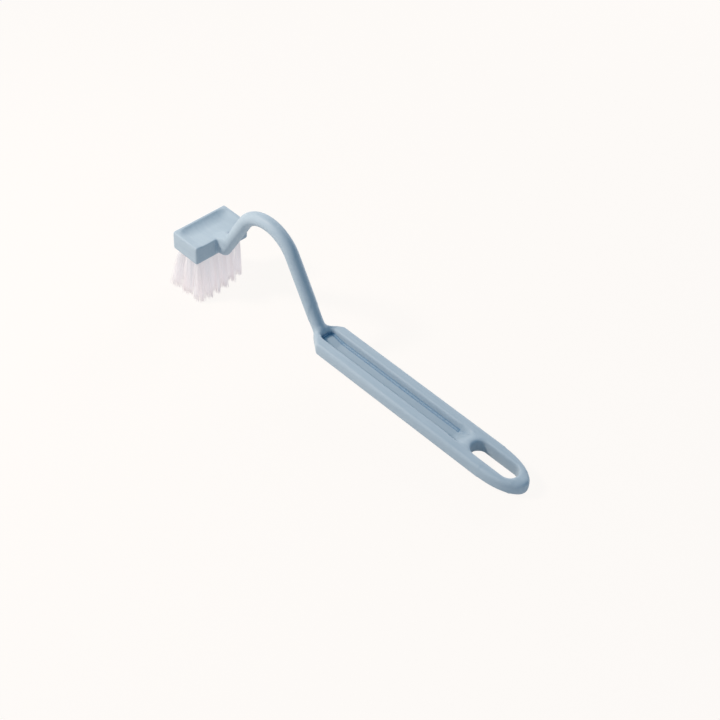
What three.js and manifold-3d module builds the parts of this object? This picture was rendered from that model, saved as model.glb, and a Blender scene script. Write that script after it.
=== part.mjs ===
// Bent-neck toilet brush: a one-piece moulded handle with tufts of nylon set on wire anchors.
// Built lying level, x from the head's free face to the grip's end, y across, z up from the
// grip's underside. The finished brush is then turned to lie on its bristle tips and grip end.
import * as THREE from 'three';
import { ConvexGeometry } from 'three/addons/geometries/ConvexGeometry.js';
import { mergeGeometries, mergeVertices } from 'three/addons/utils/BufferGeometryUtils.js';
import Module from 'manifold-3d';

// Driving dimensions, in millimetres and degrees

const OVERALL_LENGTH = 200;

const HEAD_LENGTH = 16.6;
const HEAD_WIDTH = 30.6;
const HEAD_HEIGHT = 9.5;
const HEAD_LIFT = 7.9;
const HEAD_CORNER_RADIUS = 0.8;
const HEAD_EDGE_RADIUS = 0.6;
const HEAD_WALL = 1.2;
const HEAD_ROOF = 1.1;

const DISH_RIM = 1.3;
const DISH_END_RIM = 1.1;
const DISH_WALL_RUN = 4.4;
const DISH_END_RUN = 5.2;
const DISH_DEPTH = 2.4;
const DISH_LIP = 0.1;

const NECK_DIAMETER = 6.4;
const NECK_RISE_ANGLE = 60;
const NECK_FALL_ANGLE = 58;
const ARCH_RADIUS = 18;
const ARCH_HEIGHT = 42.9;
const ROOT_BEND_RADIUS = 5;
const ROOT_DEPTH = 4.5;
const ROOT_SETBACK = 0.8;
const ROOT_CORNER_RADIUS = 1.2;
const FAIRING_RUN = 3.5;
const FAIRING_WIDTH = 6;
const FAIRING_REACH = 5.5;
const FOOT_BEND_RADIUS = 8;
const FOOT_DEPTH = 6;

const GRIP_WIDTH = 17.2;
const GRIP_HEIGHT = 6.8;
const GRIP_EDGE_RADIUS = 1.5;
const GRIP_END_LENGTH = 19;
const SHOULDER_LENGTH = 7.4;

const GROOVE_WIDTH = 7.8;
const GROOVE_DEPTH = 4.8;
const GROOVE_CORNER_RADIUS = 2.5;
const GROOVE_END_WALL = 2.6;
const GROOVE_LIFT = 1.3;
const GROOVE_LIFT_RUN = 8;
const RAMP_RADIUS = 7.2;
const RAMP_RUN = 6.2;

const SLOT_LENGTH = 24;
const SLOT_WIDTH = 8.9;
const SLOT_END_WALL = 5.8;

const TUFT_HOLE_DIAMETER = 3.2;
const SLICE_THICKNESS = 1;
const BRISTLE_LENGTH = 23.2;
const STRAND_RADIUS = 0.22;
const SPLAY_LENGTHWISE = 10.5;
const SPLAY_ACROSS = 4;
const BRISTLE_LEAN = 1;
const TIP_RAGGEDNESS = 0.6;

const ANCHOR_HEIGHT = 1.6;
const ANCHOR_THICKNESS = 0.35;
const FIT_CLEARANCE = 0.3;

// Counts

const TUFT_ROWS = 3;
const TUFTS_PER_ROW = 6;
const STRANDS_PER_TUFT = 24;
const ROUND_SIDES = 16;
const HOLE_SIDES = 10;
const STRAND_SIDES = 3;
const NECK_STEPS = 44;
const EDGE_STEPS = 3;
const DISH_STEPS = 4;
const RAMP_SIDES = 48;
const ARC_POINTS = 10;
const CORNER_POINTS = 3;
const ROW_NAMES = ['back', 'middle', 'front'];

// Places that follow from the driving dimensions

const HEAD_CENTRE = HEAD_LENGTH / 2;
const HEAD_TOP = HEAD_LIFT + HEAD_HEIGHT;
const NECK_RADIUS = NECK_DIAMETER / 2;
const DISH_FLOOR = HEAD_TOP - DISH_DEPTH;
const SLOT_END = OVERALL_LENGTH - SLOT_END_WALL;
const SLOT_START = SLOT_END - SLOT_LENGTH;
const SLOT_NEAR_CENTRE = SLOT_START + SLOT_WIDTH / 2;
const GROOVE_BED = GRIP_HEIGHT - GROOVE_DEPTH;
const POCKET_DEPTH = SLICE_THICKNESS + FIT_CLEARANCE;
const POCKET_TOP = HEAD_LIFT + POCKET_DEPTH;
const POCKET_LENGTH = HEAD_LENGTH - 2 * HEAD_WALL;
const POCKET_WIDTH = HEAD_WIDTH - 2 * HEAD_WALL;
const HOLE_TOP = DISH_FLOOR - HEAD_ROOF;
const ROW_PITCH = (POCKET_LENGTH - FIT_CLEARANCE) / TUFT_ROWS;
const SLICE_LENGTH = ROW_PITCH - FIT_CLEARANCE;
const SLICE_WIDTH = POCKET_WIDTH - 2 * FIT_CLEARANCE;
const TUFT_PITCH = SLICE_WIDTH / TUFTS_PER_ROW;
const PLUG_DIAMETER = TUFT_HOLE_DIAMETER - 2 * FIT_CLEARANCE;
const PLUG_TOP = HOLE_TOP - FIT_CLEARANCE;
const ANCHOR_MIDDLE = (POCKET_TOP + PLUG_TOP) / 2;
const CUT_MARGIN = 1;
const DISH_BED_START = DISH_RIM + DISH_WALL_RUN;
const DISH_FAR = HEAD_LENGTH + CUT_MARGIN;
const DISH_RISE = (DISH_DEPTH - DISH_LIP) / (DISH_FAR - DISH_BED_START);
const RISE_HEADING = THREE.MathUtils.degToRad(NECK_RISE_ANGLE);
const FALL_HEADING = -THREE.MathUtils.degToRad(NECK_FALL_ANGLE);
const ROOT_HEIGHT = HEAD_LIFT + NECK_RADIUS;
const ROOT_BEND_START = HEAD_LENGTH - ROOT_SETBACK;

const HEEL = OVERALL_LENGTH - GRIP_EDGE_RADIUS;
const REST_SLOPE = (BRISTLE_LENGTH - HEAD_LIFT) / (HEEL - HEAD_CENTRE);

const wasm = await Module();
wasm.setup();

// Turns a closed three.js geometry into a solid that can be joined and cut
function solidOf(geometry) {
  const bare = geometry.index ? geometry.toNonIndexed() : geometry.clone();
  bare.deleteAttribute('normal');
  bare.deleteAttribute('uv');
  const merged = mergeVertices(bare, 1e-4);
  const vertProperties = new Float32Array(merged.attributes.position.array);
  const triVerts = new Uint32Array(merged.index.array);
  return new wasm.Manifold(new wasm.Mesh({ numProp: 3, vertProperties, triVerts }));
}

// Turns a joined or cut solid back into a three.js geometry
function geometryOf(solid) {
  const { vertProperties, triVerts } = solid.getMesh();
  const geometry = new THREE.BufferGeometry();
  geometry.setAttribute('position', new THREE.BufferAttribute(new Float32Array(vertProperties), 3));
  geometry.setIndex(new THREE.BufferAttribute(new Uint32Array(triVerts), 1));
  geometry.computeVertexNormals();
  return geometry;
}

// A box given by its two opposite corners
function boxBetween(low, high) {
  const size = high.map((value, axis) => value - low[axis]);
  const middle = high.map((value, axis) => (value + low[axis]) / 2);
  return new THREE.BoxGeometry(...size).translate(...middle);
}

// An upright round post with a flat foot
function post(diameter, x, y, bottom, top) {
  const height = top - bottom;
  const geometry = new THREE.CylinderGeometry(diameter / 2, diameter / 2, height, HOLE_SIDES);
  return geometry.rotateX(Math.PI / 2).translate(x, y, (bottom + top) / 2);
}

// A plate of the given plan with rounded edges, standing on the given height
function roundedPlate(plan, bottom, height, edgeRadius, arcPoints) {
  const geometry = new THREE.ExtrudeGeometry(plan, {
    depth: height - 2 * edgeRadius,
    curveSegments: arcPoints,
    bevelEnabled: true,
    bevelThickness: edgeRadius,
    bevelSize: edgeRadius,
    bevelOffset: -edgeRadius,
    bevelSegments: EDGE_STEPS,
  });
  return geometry.translate(0, 0, bottom + edgeRadius);
}

// A square-edged plate of the given plan, used as a cutter
function squarePlate(plan, bottom, top) {
  const geometry = new THREE.ExtrudeGeometry(plan, {
    depth: top - bottom,
    curveSegments: ARC_POINTS,
    bevelEnabled: false,
  });
  return geometry.translate(0, 0, bottom);
}

// A plan rectangle with rounded corners
function roundedRectangle(x0, x1, y0, y1, radius) {
  const plan = new THREE.Shape();
  plan.absarc(x1 - radius, y1 - radius, radius, 0, Math.PI / 2);
  plan.absarc(x0 + radius, y1 - radius, radius, Math.PI / 2, Math.PI);
  plan.absarc(x0 + radius, y0 + radius, radius, Math.PI, 1.5 * Math.PI);
  plan.absarc(x1 - radius, y0 + radius, radius, 1.5 * Math.PI, 2 * Math.PI);
  plan.closePath();
  return plan;
}

// A circular bend in the upright middle plane, from one heading to another
class Bend extends THREE.Curve {
  constructor(start, radius, fromHeading, toHeading) {
    super();
    const side = Math.sign(toHeading - fromHeading);
    this.radius = radius;
    this.side = side;
    this.fromHeading = fromHeading;
    this.toHeading = toHeading;
    this.centreX = start.x - side * radius * Math.sin(fromHeading);
    this.centreZ = start.z + side * radius * Math.cos(fromHeading);
  }

  getPoint(t, target = new THREE.Vector3()) {
    const heading = this.fromHeading + t * (this.toHeading - this.fromHeading);
    const x = this.centreX + this.side * this.radius * Math.sin(heading);
    const z = this.centreZ - this.side * this.radius * Math.cos(heading);
    return target.set(x, 0, z);
  }
}

// The neck's centreline: out of the head, up, over the arch and down into the grip
function neckPath() {
  const rise = RISE_HEADING;
  const fall = FALL_HEADING;
  const path = new THREE.CurvePath();
  const footHeight = GRIP_HEIGHT / 2;
  const run = (from, heading, length) => {
    const step = new THREE.Vector3(Math.cos(heading), 0, Math.sin(heading));
    const to = step.multiplyScalar(length).add(from);
    path.add(new THREE.LineCurve3(from, to));
    return to;
  };
  const turn = (from, radius, fromHeading, toHeading) => {
    const bend = new Bend(from, radius, fromHeading, toHeading);
    path.add(bend);
    return bend.getPoint(1);
  };
  const archRise = ARCH_RADIUS * (1 - Math.cos(rise));
  const archFall = ARCH_RADIUS * (1 - Math.cos(fall));
  const rootRise = ROOT_BEND_RADIUS * (1 - Math.cos(rise));
  const footFall = FOOT_BEND_RADIUS * (1 - Math.cos(fall));
  const riseLength = (ARCH_HEIGHT - ROOT_HEIGHT - rootRise - archRise) / Math.sin(rise);
  const fallLength = (ARCH_HEIGHT - footHeight - footFall - archFall) / Math.sin(-fall);
  let point = new THREE.Vector3(HEAD_LENGTH - ROOT_DEPTH, 0, ROOT_HEIGHT);
  point = run(point, 0, ROOT_DEPTH - ROOT_SETBACK);
  point = turn(point, ROOT_BEND_RADIUS, 0, rise);
  const riseStart = point;
  point = run(point, rise, riseLength);
  point = turn(point, ARCH_RADIUS, rise, fall);
  point = run(point, fall, fallLength);
  point = turn(point, FOOT_BEND_RADIUS, fall, 0);
  return { path, riseStart, end: point };
}

const NECK = neckPath();
const GRIP_START = NECK.end.x - FOOT_DEPTH;
const GROOVE_START = GRIP_START + GROOVE_END_WALL;

// The round neck swept along its centreline
function neck() {
  const section = new THREE.Shape();
  section.absarc(0, 0, NECK_RADIUS, 0, 2 * Math.PI);
  return new THREE.ExtrudeGeometry(section, {
    steps: NECK_STEPS,
    curveSegments: ROUND_SIDES / 2,
    bevelEnabled: false,
    extrudePath: NECK.path,
  });
}

// Height of the dish's rising floor
function dishFloor(x) {
  return DISH_FLOOR + (x - DISH_BED_START) * DISH_RISE;
}

// The dish in the head's top: three curved walls and a floor that rises to the neck's side
function dish() {
  const points = [];
  const addPair = (x, endRun, z) => {
    const half = HEAD_WIDTH / 2 - DISH_END_RIM - endRun;
    points.push(new THREE.Vector3(x, -half, z), new THREE.Vector3(x, half, z));
  };
  for (let step = -1; step <= DISH_STEPS; step += 1) {
    const share = step / DISH_STEPS;
    const z = HEAD_TOP - DISH_DEPTH * share * (2 - share);
    addPair(DISH_RIM + DISH_WALL_RUN * share, DISH_END_RUN * share, z);
    if (step < 0) {
      addPair(DISH_FAR, DISH_END_RUN * share, z);
    }
  }
  const lipShare = 1 - Math.sqrt(1 - DISH_LIP / DISH_DEPTH);
  addPair(DISH_FAR, DISH_END_RUN * lipShare, HEAD_TOP - DISH_LIP);
  return solidOf(new ConvexGeometry(points));
}

// The head block with its dish
function head() {
  const plan = roundedRectangle(0, HEAD_LENGTH, -HEAD_WIDTH / 2, HEAD_WIDTH / 2, HEAD_CORNER_RADIUS);
  const block = solidOf(roundedPlate(plan, HEAD_LIFT, HEAD_HEIGHT, HEAD_EDGE_RADIUS, CORNER_POINTS));
  return block.subtract(dish());
}

// The thickened root: a knuckle below the bend, and a fairing that carries the dish's floor up the neck
function root() {
  const back = HEAD_LENGTH - ROOT_DEPTH;
  const base = roundedRectangle(
    -NECK_RADIUS, NECK_RADIUS, HEAD_LIFT, dishFloor(back) - HEAD_ROOF, ROOT_CORNER_RADIUS,
  );
  const points = base.getPoints(CORNER_POINTS).map(({ x, y }) => new THREE.Vector3(back, x, y));
  const corner = ROOT_BEND_START + ROOT_BEND_RADIUS * Math.tan(RISE_HEADING / 2);
  const knuckle = new THREE.SphereGeometry(NECK_RADIUS, ROUND_SIDES, ROUND_SIDES / 2);
  knuckle.translate(corner, 0, ROOT_HEIGHT);
  const spots = knuckle.attributes.position;
  for (let i = 0; i < spots.count; i += 1) {
    points.push(new THREE.Vector3().fromBufferAttribute(spots, i));
  }
  const along = new THREE.Vector3(Math.cos(RISE_HEADING), 0, Math.sin(RISE_HEADING));
  const upward = new THREE.Vector3(-along.z, 0, along.x);
  const middle = along.clone().multiplyScalar(FAIRING_REACH).add(NECK.riseStart);
  for (let i = 0; i < ROUND_SIDES; i += 1) {
    const angle = (2 * Math.PI * i) / ROUND_SIDES;
    const point = upward.clone().multiplyScalar(NECK_RADIUS * Math.cos(angle)).add(middle);
    point.y = NECK_RADIUS * Math.sin(angle);
    points.push(point);
    if (Math.cos(angle) <= 0) {
      const x = ROOT_BEND_START + FAIRING_RUN * Math.cos(angle);
      points.push(new THREE.Vector3(x, (FAIRING_WIDTH / 2) * Math.sin(angle), dishFloor(x)));
    }
  }
  return solidOf(new ConvexGeometry(points));
}

// The grip's plan: shoulders flaring from the neck, straight sides and a long round end
function gripPlan() {
  const half = GRIP_WIDTH / 2;
  const endCentre = OVERALL_LENGTH - GRIP_END_LENGTH;
  const plan = new THREE.Shape();
  plan.moveTo(GRIP_START, NECK_RADIUS);
  plan.lineTo(GRIP_START, -NECK_RADIUS);
  plan.lineTo(GRIP_START + SHOULDER_LENGTH, -half);
  plan.lineTo(endCentre, -half);
  plan.absellipse(endCentre, 0, GRIP_END_LENGTH, half, -Math.PI / 2, Math.PI / 2);
  plan.lineTo(GRIP_START + SHOULDER_LENGTH, half);
  plan.closePath();
  return plan;
}

// The hang slot's plan, round at both ends
function slotPlan() {
  const half = SLOT_WIDTH / 2;
  const plan = new THREE.Shape();
  plan.absarc(SLOT_END - half, 0, half, -Math.PI / 2, Math.PI / 2);
  plan.absarc(SLOT_NEAR_CENTRE, 0, half, Math.PI / 2, 1.5 * Math.PI);
  plan.closePath();
  return plan;
}

// The groove's plan, running on to the middle of the slot's near end
function groovePlan() {
  const half = GROOVE_WIDTH / 2;
  const radius = GROOVE_CORNER_RADIUS;
  const plan = new THREE.Shape();
  plan.absarc(GROOVE_START + radius, half - radius, radius, Math.PI / 2, Math.PI);
  plan.absarc(GROOVE_START + radius, radius - half, radius, Math.PI, 1.5 * Math.PI);
  plan.lineTo(SLOT_NEAR_CENTRE, -half);
  plan.lineTo(SLOT_NEAR_CENTRE, half);
  plan.closePath();
  return plan;
}

// The groove's cutter: its bed lifts at the start and ends in a round ramp up to the slot's rim
function groove() {
  const plate = squarePlate(groovePlan(), GROOVE_BED, GRIP_HEIGHT + CUT_MARGIN);
  const flare = (RAMP_RUN * CUT_MARGIN) / GROOVE_DEPTH;
  const ramp = new THREE.CylinderGeometry(
    RAMP_RADIUS - flare, RAMP_RADIUS + RAMP_RUN + flare, GROOVE_DEPTH + 2 * CUT_MARGIN, RAMP_SIDES,
  );
  ramp.rotateX(Math.PI / 2).translate(SLOT_NEAR_CENTRE, 0, GROOVE_BED + GROOVE_DEPTH / 2);
  const tilt = (GROOVE_LIFT * CUT_MARGIN) / GROOVE_LIFT_RUN;
  const profile = new THREE.Shape();
  profile.moveTo(GROOVE_START - CUT_MARGIN, GROOVE_BED - CUT_MARGIN);
  profile.lineTo(GROOVE_START + GROOVE_LIFT_RUN, GROOVE_BED - CUT_MARGIN);
  profile.lineTo(GROOVE_START + GROOVE_LIFT_RUN, GROOVE_BED);
  profile.lineTo(GROOVE_START - CUT_MARGIN, GROOVE_BED + GROOVE_LIFT + tilt);
  profile.closePath();
  const lift = new THREE.ExtrudeGeometry(profile, { depth: GRIP_WIDTH, bevelEnabled: false });
  lift.rotateX(Math.PI / 2).translate(0, GRIP_WIDTH / 2, 0);
  return solidOf(plate).subtract(solidOf(ramp)).subtract(solidOf(lift));
}

// The middle of each tuft's root, row by row
function tuftRoots() {
  const roots = [];
  for (let row = 0; row < TUFT_ROWS; row += 1) {
    for (let tuft = 0; tuft < TUFTS_PER_ROW; tuft += 1) {
      const along = row - (TUFT_ROWS - 1) / 2;
      const across = tuft - (TUFTS_PER_ROW - 1) / 2;
      roots.push({ row, along, across, x: HEAD_CENTRE + along * ROW_PITCH, y: across * TUFT_PITCH });
    }
  }
  return roots;
}

const TUFTS = tuftRoots();

// The whole moulding, with the seat and the blind holes for the tufts
function handle() {
  const grip = solidOf(roundedPlate(gripPlan(), 0, GRIP_HEIGHT, GRIP_EDGE_RADIUS, ARC_POINTS));
  const slot = squarePlate(slotPlan(), -CUT_MARGIN, GRIP_HEIGHT + CUT_MARGIN);
  const pocket = boxBetween(
    [HEAD_WALL, -POCKET_WIDTH / 2, HEAD_LIFT - CUT_MARGIN],
    [HEAD_LENGTH - HEAD_WALL, POCKET_WIDTH / 2, POCKET_TOP],
  );
  let solid = head().add(root()).add(solidOf(neck())).add(grip).subtract(groove());
  for (const cutter of [slot, pocket]) {
    solid = solid.subtract(solidOf(cutter));
  }
  for (const { x, y } of TUFTS) {
    solid = solid.subtract(solidOf(post(TUFT_HOLE_DIAMETER, x, y, POCKET_TOP - CUT_MARGIN, HOLE_TOP)));
  }
  return geometryOf(solid);
}

// Height of the surface that the brush lies on, seen from the level frame
function restHeight(x) {
  return (x - HEEL) * REST_SLOPE;
}

// One straight strand from its root in the slice to its tip
function strand(root, tip) {
  const along = new THREE.Vector3().subVectors(tip, root);
  const length = along.length();
  const geometry = new THREE.CylinderGeometry(STRAND_RADIUS, STRAND_RADIUS, length, STRAND_SIDES);
  const turn = new THREE.Quaternion().setFromUnitVectors(new THREE.Vector3(0, 1, 0), along.normalize());
  return geometry.applyQuaternion(turn).translate(
    (root.x + tip.x) / 2,
    (root.y + tip.y) / 2,
    (root.z + tip.z) / 2,
  );
}

// Strands of one tuft: a sunflower pattern at the root that opens towards the tips without crossing
function tuftStrands({ along, across, x, y }) {
  const goldenAngle = Math.PI * (3 - Math.sqrt(5));
  const rootRadius = TUFT_HOLE_DIAMETER / 2 - STRAND_RADIUS;
  const tipPitchX = ROW_PITCH + SPLAY_LENGTHWISE / TUFT_ROWS;
  const tipPitchY = TUFT_PITCH + SPLAY_ACROSS / TUFTS_PER_ROW;
  const tipX = HEAD_CENTRE - BRISTLE_LEAN + along * tipPitchX;
  const tipY = across * tipPitchY;
  const tipRadiusX = tipPitchX / 2 - 2 * STRAND_RADIUS;
  const tipRadiusY = tipPitchY / 2 - 2 * STRAND_RADIUS;
  const strands = [];
  for (let i = 0; i < STRANDS_PER_TUFT; i += 1) {
    const share = Math.sqrt((i + 0.5) / STRANDS_PER_TUFT);
    const angle = i * goldenAngle;
    const rootOffset = share * rootRadius;
    const root = new THREE.Vector3(
      x + rootOffset * Math.cos(angle),
      y + rootOffset * Math.sin(angle),
      HEAD_LIFT + SLICE_THICKNESS / 2,
    );
    const tip = new THREE.Vector3(
      tipX + share * tipRadiusX * Math.cos(angle),
      tipY + share * tipRadiusY * Math.sin(angle),
      0,
    );
    const ragged = TIP_RAGGEDNESS * (0.5 + 0.5 * Math.sin(i * i + along + 2 * across));
    tip.z = restHeight(tip.x) + STRAND_RADIUS + ragged;
    strands.push(strand(root, tip));
  }
  return strands;
}

// The folded root of one tuft, with the window that its anchor passes through
function tuftPlug({ x, y }) {
  const plug = solidOf(post(PLUG_DIAMETER, x, y, HEAD_LIFT + SLICE_THICKNESS / 2, PLUG_TOP));
  const halfWide = ANCHOR_THICKNESS / 2 + FIT_CLEARANCE;
  const halfHigh = ANCHOR_HEIGHT / 2 + FIT_CLEARANCE;
  const window = boxBetween(
    [x - PLUG_DIAMETER, y - halfWide, ANCHOR_MIDDLE - halfHigh],
    [x + PLUG_DIAMETER, y + halfWide, ANCHOR_MIDDLE + halfHigh],
  );
  return plug.subtract(solidOf(window));
}

// One row of tufts on its slice of the head's underside
function bristleRow(row) {
  const x = HEAD_CENTRE + (row - (TUFT_ROWS - 1) / 2) * ROW_PITCH;
  const slice = boxBetween(
    [x - SLICE_LENGTH / 2, -SLICE_WIDTH / 2, HEAD_LIFT],
    [x + SLICE_LENGTH / 2, SLICE_WIDTH / 2, HEAD_LIFT + SLICE_THICKNESS],
  );
  const tufts = TUFTS.filter((tuft) => tuft.row === row);
  let solid = solidOf(slice);
  for (const tuft of tufts) {
    solid = solid.add(tuftPlug(tuft));
  }
  const strands = tufts.flatMap((tuft) => tuftStrands(tuft));
  return geometryOf(solid.add(solidOf(mergeGeometries(strands))));
}

// One flat wire anchor across the root of a tuft
function anchor({ x, y }) {
  const half = [PLUG_DIAMETER / 2, ANCHOR_THICKNESS / 2, ANCHOR_HEIGHT / 2];
  const middle = [x, y, ANCHOR_MIDDLE];
  return boxBetween(
    middle.map((value, axis) => value - half[axis]),
    middle.map((value, axis) => value + half[axis]),
  );
}

const BLUE_PLASTIC = { color: 0xa9c0cd, roughness: 0.42, metalness: 0 };
const WHITE_NYLON = { color: 0xf1efea, roughness: 0.5, metalness: 0 };
const ANCHOR_WIRE = { color: 0xb9bcc0, roughness: 0.35, metalness: 1 };

// Names a sub-part and gives it a material of its own
function piece(name, geometry, finish) {
  const mesh = new THREE.Mesh(geometry, new THREE.MeshStandardMaterial(finish));
  mesh.name = name;
  return mesh;
}

const brush = new THREE.Group();
brush.add(piece('handle', handle(), BLUE_PLASTIC));
ROW_NAMES.forEach((name, row) => {
  brush.add(piece(`bristle_row_${name}`, bristleRow(row), WHITE_NYLON));
});
TUFTS.forEach((tuft, index) => {
  const number = String(index + 1).padStart(2, '0');
  brush.add(piece(`tuft_anchor_${number}`, anchor(tuft), ANCHOR_WIRE));
});

// Laid down on its tips and heel, over the middle of its own box
brush.rotation.y = Math.atan(REST_SLOPE);
const group = new THREE.Group();
group.add(brush);
const box = new THREE.Box3().setFromObject(group, true);
brush.position.set(-(box.min.x + box.max.x) / 2, 0, -box.min.z);

export default group;
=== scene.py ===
"""Bent-neck toilet brush: the visual model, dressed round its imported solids.

Shapes are drawn level and in millimetres: x runs from the head's free face to the grip's end,
y across the head and z up from the grip's underside. The rest pose then lays each finished
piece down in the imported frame, in metres, on its bristle tips and the heel of its grip.
"""

import logging
import math
from dataclasses import dataclass
from enum import Enum
from random import Random
from typing import Any, Iterable, Mapping, Sequence

import bmesh
import bpy
from bmesh.types import BMEdge, BMesh, BMVert
from bpy.types import Material, Mesh, Object
from mathutils import Matrix, Quaternion, Vector


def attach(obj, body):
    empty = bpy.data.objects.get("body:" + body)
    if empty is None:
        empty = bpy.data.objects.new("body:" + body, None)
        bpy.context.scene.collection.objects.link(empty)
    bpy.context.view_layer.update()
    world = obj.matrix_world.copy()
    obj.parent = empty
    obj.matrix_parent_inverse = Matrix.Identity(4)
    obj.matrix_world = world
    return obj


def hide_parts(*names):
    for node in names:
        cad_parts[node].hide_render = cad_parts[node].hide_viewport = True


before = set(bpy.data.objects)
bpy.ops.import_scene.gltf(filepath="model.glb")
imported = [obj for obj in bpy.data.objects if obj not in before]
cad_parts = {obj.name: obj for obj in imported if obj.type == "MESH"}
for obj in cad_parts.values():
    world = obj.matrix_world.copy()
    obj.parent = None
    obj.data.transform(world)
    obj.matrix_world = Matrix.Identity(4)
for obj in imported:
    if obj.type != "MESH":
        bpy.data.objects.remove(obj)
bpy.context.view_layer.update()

LOG = logging.getLogger("toilet_brush")
MM = 0.001
BODY = "root"
UP = Vector((0.0, 0.0, 1.0))
ACROSS = Vector((0.0, 1.0, 0.0))
OVERSHOOT = 1.0
TINY = 1e-4
GOLDEN_ANGLE = math.pi * (3.0 - math.sqrt(5.0))

Band = tuple[float, float]
Colour = tuple[float, float, float]
Ring = list[BMVert | BMEdge]


class MaterialSlot(Enum):
    """The record's material slots."""

    BLUE_PLASTIC = "blue_plastic"
    NYLON = "nylon"
    ANCHOR_WIRE = "anchor_wire"


class Combine(Enum):
    """What a second shape does to the first one."""

    JOIN = "UNION"
    REMOVE = "DIFFERENCE"


class TuftRow(Enum):
    """The rows of tufts, from the head's free face towards the neck."""

    BACK = 0
    MIDDLE = 1
    FRONT = 2


# Shader maths


class Signal:
    """One node output that takes part in Python expressions."""

    def __init__(self, bench: "NodeBench", socket: bpy.types.NodeSocket | None) -> None:
        """Keeps the socket and the bench that adds nodes beside it."""
        self.bench = bench
        self.socket = socket

    def __add__(self, other: "Signal | float") -> "Signal":
        """Adds a signal or a number."""
        return self.bench.math("ADD", self, other)

    def __radd__(self, other: float) -> "Signal":
        """Adds to a number."""
        return self.bench.math("ADD", other, self)

    def __sub__(self, other: "Signal | float") -> "Signal":
        """Takes a signal or a number away."""
        return self.bench.math("SUBTRACT", self, other)

    def __rsub__(self, other: float) -> "Signal":
        """Takes this signal away from a number."""
        return self.bench.math("SUBTRACT", other, self)

    def __mul__(self, other: "Signal | float") -> "Signal":
        """Multiplies by a signal or a number."""
        return self.bench.math("MULTIPLY", self, other)

    def __rmul__(self, other: float) -> "Signal":
        """Multiplies a number."""
        return self.bench.math("MULTIPLY", other, self)


class NodeBench:
    """Adds nodes to one material's or world's tree."""

    def __init__(self, tree: bpy.types.NodeTree) -> None:
        """Starts from an empty tree."""
        tree.nodes.clear()
        self.tree = tree

    def make(
        self,
        kind: str,
        settings: Mapping[str, Any] | None = None,
        sockets: Mapping[str | int, Any] | None = None,
        out: str | int = 0,
    ) -> Signal:
        """Adds one node.

        Args:
            kind: The node's type.
            settings: Values of the node itself, set first; "stops" are a ramp's stops.
            sockets: Values or signals for the node's inputs, by name or number.
            out: The output that the result stands for.

        Returns:
            The chosen output, or an empty signal where the node has none.
        """
        node = self.tree.nodes.new(kind)
        for key, value in (settings or {}).items():
            if key == "stops":
                self._set_stops(node.color_ramp, value)
            else:
                setattr(node, key, value)
        for key, value in (sockets or {}).items():
            if isinstance(value, Signal):
                self.tree.links.new(value.socket, node.inputs[key])
            else:
                node.inputs[key].default_value = value
        return Signal(self, node.outputs[out] if node.outputs else None)

    @staticmethod
    def _set_stops(ramp: bpy.types.ColorRamp, stops: Sequence[Band]) -> None:
        """Gives a new ramp its two stops.

        Args:
            ramp: The ramp to fill.
            stops: Pairs of a position and a grey level.
        """
        for element, (position, level) in zip(ramp.elements, stops):
            element.position = position
            element.color = (level, level, level, 1.0)

    def math(self, operation: str, first: Signal | float, second: Signal | float) -> Signal:
        """Adds one Math node and returns its value."""
        return self.make("ShaderNodeMath", {"operation": operation}, {0: first, 1: second})

    def mix(self, factor: Signal | float, first: Any, second: Any) -> Signal:
        """Mixes two colours.

        Args:
            factor: The share of the second colour.
            first: A colour or a signal.
            second: A colour or a signal.

        Returns:
            The mixed colour.
        """
        ends = [v if isinstance(v, Signal) else (*v, 1.0) for v in (first, second)]
        return self.make(
            "ShaderNodeMix",
            {"data_type": "RGBA"},
            {0: factor, 6: ends[0], 7: ends[1]},
            out=2,
        )

    def ramp(self, value: Signal, band: Band, falling: bool = False) -> Signal:
        """Maps a value through a grey ramp.

        Args:
            value: The value to map.
            band: Where the ramp begins and where it ends.
            falling: Whether it falls from 1 to 0, and doesn't rise.

        Returns:
            A value from 0 to 1.
        """
        levels = (1.0, 0.0) if falling else (0.0, 1.0)
        stops = list(zip(band, levels))
        return self.make("ShaderNodeValToRGB", {"stops": stops}, {"Fac": value})

    def place(self, scale: Colour = (1.0, 1.0, 1.0)) -> Signal:
        """Object coordinates, stretched by the given scale."""
        here = self.make("ShaderNodeTexCoord", out="Object")
        return self.make("ShaderNodeMapping", None, {"Vector": here, "Scale": scale})

    def noise(self, scale: float, detail: float = 3.0, stretch: Colour = (1.0, 1.0, 1.0)) -> Signal:
        """Smooth noise on object coordinates.

        Args:
            scale: Waves a metre.
            detail: Octaves of finer noise.
            stretch: Scale of each axis before the noise.

        Returns:
            A value about one half.
        """
        return self.make(
            "ShaderNodeTexNoise",
            None,
            {"Vector": self.place(stretch), "Scale": scale, "Detail": detail},
        )

    def bump(self, height: Signal, depth: float, strength: float) -> Signal:
        """Turns a height into a surface normal.

        Args:
            height: Height from 0 to 1.
            depth: Depth of the relief, in metres.
            strength: Share of the relief that shows.

        Returns:
            The normal.
        """
        return self.make(
            "ShaderNodeBump", None, {"Height": height, "Distance": depth, "Strength": strength}
        )

    def surface(self, shader: Signal) -> None:
        """Sends a shader to the material's output."""
        self.make("ShaderNodeOutputMaterial", None, {"Surface": shader})

    def principled(self, sockets: Mapping[str, Any]) -> None:
        """Makes the material one solid substance with these values or signals."""
        self.surface(self.make("ShaderNodeBsdfPrincipled", None, sockets))


def new_bench(name: str) -> tuple[Material, NodeBench]:
    """Makes a material and the bench for its nodes."""
    material = bpy.data.materials.new(name)
    material.use_nodes = True
    return material, NodeBench(material.node_tree)


# Finishes


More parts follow.
